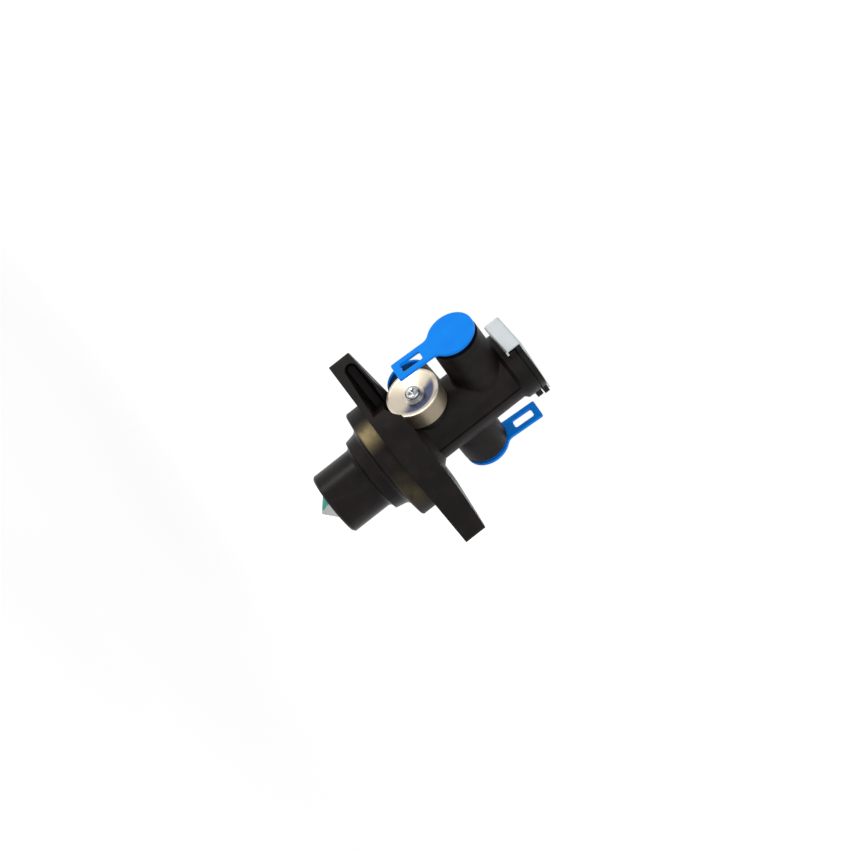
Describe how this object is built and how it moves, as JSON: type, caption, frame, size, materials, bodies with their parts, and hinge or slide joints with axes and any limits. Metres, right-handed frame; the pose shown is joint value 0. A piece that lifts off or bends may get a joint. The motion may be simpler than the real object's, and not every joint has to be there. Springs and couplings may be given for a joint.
{
  "type": "gearbox lock valve",
  "caption": "Flanged pneumatic interlock valve: a spring-loaded plunger in a nose that reaches into the gearbox, cast body with capped hose ports, screened vent and clipped end cover.",
  "frame": {"origin": "on the valve axis, at the flange's mating face", "axes": "+Z along the valve axis to the end cover, with the nose and plunger towards -Z; port 1 and the vent towards -Y, port 2 towards +Y, port 3 towards -X; the flange's ears lie at 45 degrees between X and Y"},
  "size_m": [0.0924, 0.0924, 0.1291],
  "materials": {
    "cast_body": "satin black coating",
    "plunger_steel": "ground",
    "bronze": "turned",
    "black_rubber": "matt",
    "spring_steel": "drawn",
    "black_plastic": "moulded",
    "turned_aluminium": "turned",
    "zinc_sheet": "bright zinc plating",
    "felt": "felt",
    "pale_sheet": "pale passivated",
    "blue_plastic": "moulded"
  },
  "bodies": {
    "valve_body": {"housing": "cast_body", "plunger_bush": "bronze", "wiper_seal": "black_rubber", "nose_snap_ring": "spring_steel", "stem_seal": "black_rubber", "vent_spacer": "black_plastic", "vent_seal": "black_rubber", "delivery_spacer": "black_plastic", "supply_seal": "black_rubber", "supply_spacer": "black_plastic", "end_cover": "black_plastic", "cover_seal": "black_rubber", "retaining_clip": "zinc_sheet", "vent_flap": "black_rubber", "vent_sleeve": "turned_aluminium", "vent_filter": "felt", "vent_disc": "pale_sheet", "vent_skirt": "pale_sheet", "vent_washer": "zinc_sheet", "vent_screw": "zinc_sheet"},
    "plunger_set": {"plunger": "plunger_steel", "spool": "turned_aluminium", "spring_seat": "turned_aluminium", "return_spring": "spring_steel"},
    "port_1_cap": {"port_1_cap": "blue_plastic"},
    "port_2_cap": {"port_2_cap": "blue_plastic"},
    "port_3_cap": {"port_3_cap": "blue_plastic"}
  },
  "joints": [
    {"name": "plunger_stroke", "type": "slide", "parent": "valve_body", "child": "plunger_set", "axis": [0, 0, 1], "range_m": [0, 0.005], "stiffness_N_per_m": 3000, "springref_m": -0.008, "deforming": ["return_spring"]},
    {"name": "port_1_cap_pull", "type": "slide", "parent": "valve_body", "child": "port_1_cap", "axis": [0, -1, 0], "range_m": [0, 0.03]},
    {"name": "port_2_cap_pull", "type": "slide", "parent": "valve_body", "child": "port_2_cap", "axis": [0, 1, 0], "range_m": [0, 0.03]},
    {"name": "port_3_cap_pull", "type": "slide", "parent": "valve_body", "child": "port_3_cap", "axis": [-1, 0, 0], "range_m": [0, 0.03]}
  ]
}
